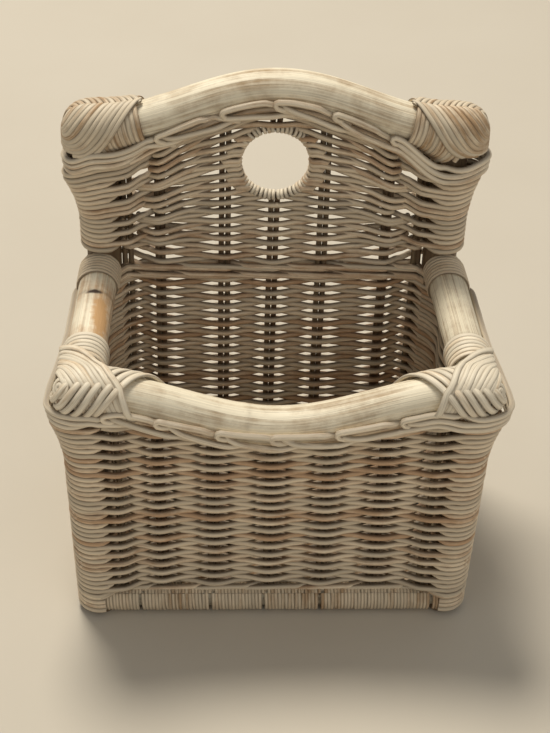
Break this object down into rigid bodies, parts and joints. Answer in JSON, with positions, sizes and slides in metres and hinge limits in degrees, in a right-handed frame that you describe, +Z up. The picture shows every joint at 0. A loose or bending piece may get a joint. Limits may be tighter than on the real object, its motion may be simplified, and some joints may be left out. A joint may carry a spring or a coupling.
{
  "type": "magazine basket",
  "caption": "Upright open wicker magazine basket on a rattan pole frame, with a dipped front, low arms and a tall arched back with a round hand hole.",
  "frame": {"origin": "on the floor, at the middle of the box round the whole basket", "axes": "+Z up, the dipped front towards -Y, +X to the right seen from the front"},
  "size_m": [0.3, 0.1837, 0.3418],
  "materials": {
    "rattan_pole": "whitewashed, satin",
    "weaving_reed": "whitewashed, matte",
    "stake_reed": "whitewashed, matte, darker between the rows",
    "binding_cane": "whitewashed, satin",
    "nail_steel": "plain bright steel"
  },
  "bodies": {
    "root": {"back_woven_wall": "weaving_reed", "front_foot_rail_wrap": "binding_cane", "hand_hole_binding": "binding_cane", "front_woven_wall": "weaving_reed", "front_top_rail": "rattan_pole", "back_top_rail": "rattan_pole", "left_arm_back_binding": "binding_cane", "right_arm_back_binding": "binding_cane", "front_right_corner_binding": "binding_cane", "front_left_corner_binding": "binding_cane", "back_right_corner_binding": "binding_cane", "back_left_corner_binding": "binding_cane", "right_woven_wall": "weaving_reed", "left_woven_wall": "weaving_reed", "front_border": "weaving_reed", "back_border": "weaving_reed", "hand_hole_hoop": "weaving_reed", "left_foot_rail_wrap": "binding_cane", "right_foot_rail_wrap": "binding_cane", "back_foot_rail_wrap": "binding_cane", "floor_weave": "weaving_reed", "right_arm_rail": "rattan_pole", "left_arm_rail": "rattan_pole", "front_left_post": "rattan_pole", "front_right_post": "rattan_pole", "back_left_post": "rattan_pole", "back_right_post": "rattan_pole", "left_foot_rail": "rattan_pole", "right_foot_rail": "rattan_pole", "front_foot_rail": "rattan_pole", "back_foot_rail": "rattan_pole", "front_left_nail": "nail_steel", "front_right_nail": "nail_steel", "back_left_nail": "nail_steel", "back_right_nail": "nail_steel", "back_stake_pair_3": "stake_reed", "back_stake_pair_5": "stake_reed", "back_stake_pair_4_above_hole": "stake_reed", "front_stake_pair_1": "stake_reed", "front_stake_pair_2": "stake_reed", "front_stake_pair_3": "stake_reed", "front_stake_pair_4": "stake_reed", "front_stake_pair_6": "stake_reed", "front_stake_pair_7": "stake_reed", "back_stake_pair_1": "stake_reed", "back_stake_pair_2": "stake_reed", "back_stake_pair_6": "stake_reed", "back_stake_pair_7": "stake_reed", "back_stake_pair_4": "stake_reed", "front_stake_pair_5": "stake_reed", "left_stake_pair_1": "stake_reed", "left_stake_pair_2": "stake_reed", "right_stake_pair_1": "stake_reed", "right_stake_pair_2": "stake_reed", "floor_stake_pair_1": "stake_reed", "floor_stake_pair_2": "stake_reed", "floor_stake_pair_3": "stake_reed", "floor_stake_pair_4": "stake_reed", "left_arm_border": "weaving_reed", "right_arm_border": "weaving_reed"}
  },
  "joints": []
}
